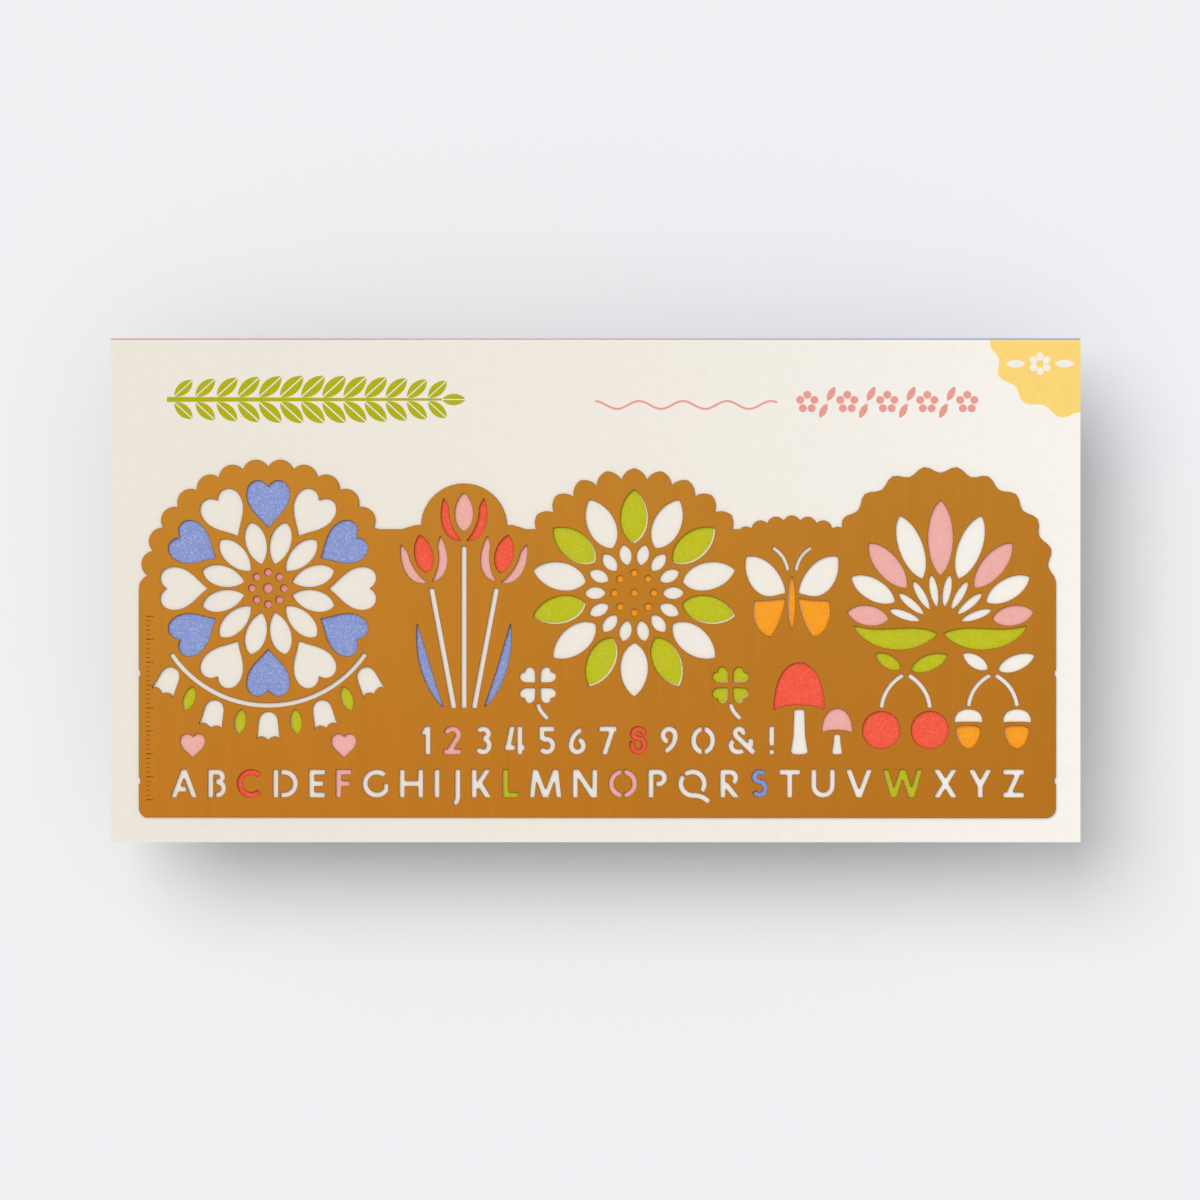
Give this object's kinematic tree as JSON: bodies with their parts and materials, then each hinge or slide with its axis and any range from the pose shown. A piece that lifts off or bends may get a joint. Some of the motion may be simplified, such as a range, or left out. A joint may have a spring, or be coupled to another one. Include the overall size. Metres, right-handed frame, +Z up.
{
  "type": "etched drawing stencil on a folded card",
  "caption": "Thin brass drawing stencil with a domed floral upper edge and cut-out flowers, letters and digits, held by glue dots on a folded cream card that opens along its top edge.",
  "frame": {"origin": "The middle of the card's underside, where the shut card lies on the table.", "axes": "X runs along the rows of letters, from A to Z. Y runs up the card from its foot to its fold. Z points up out of the card's face."},
  "size_m": [0.2116, 0.11, 0.0024],
  "materials": {
    "etched_brass": "fine brushed grain up the plate, satin",
    "cream_board": "uncoated, matte",
    "printed_board": "uncoated, matte, printed",
    "clear_glue": "soft, clear and slightly glossy"
  },
  "bodies": {
    "back": {"back_panel": "cream_board", "fold_crease": "printed_board"},
    "front": {"front_panel": "cream_board", "glue_dot_1": "clear_glue", "glue_dot_2": "clear_glue", "glue_dot_3": "clear_glue", "glue_dot_4": "clear_glue", "glue_dot_5": "clear_glue", "glue_dot_6": "clear_glue"},
    "stencil": {"stencil_plate": "etched_brass"}
  },
  "joints": [
    {"name": "card_fold", "type": "hinge", "parent": "back", "child": "front", "pos_m": [0, 0.0541, 0.0009], "axis": [-1, 0, 0], "range_deg": [0, 180], "deforming": ["fold_crease"]},
    {"name": "stencil_lift", "type": "slide", "parent": "front", "child": "stencil", "axis": [0, 0, 1], "range_m": [0, 0.01]}
  ]
}
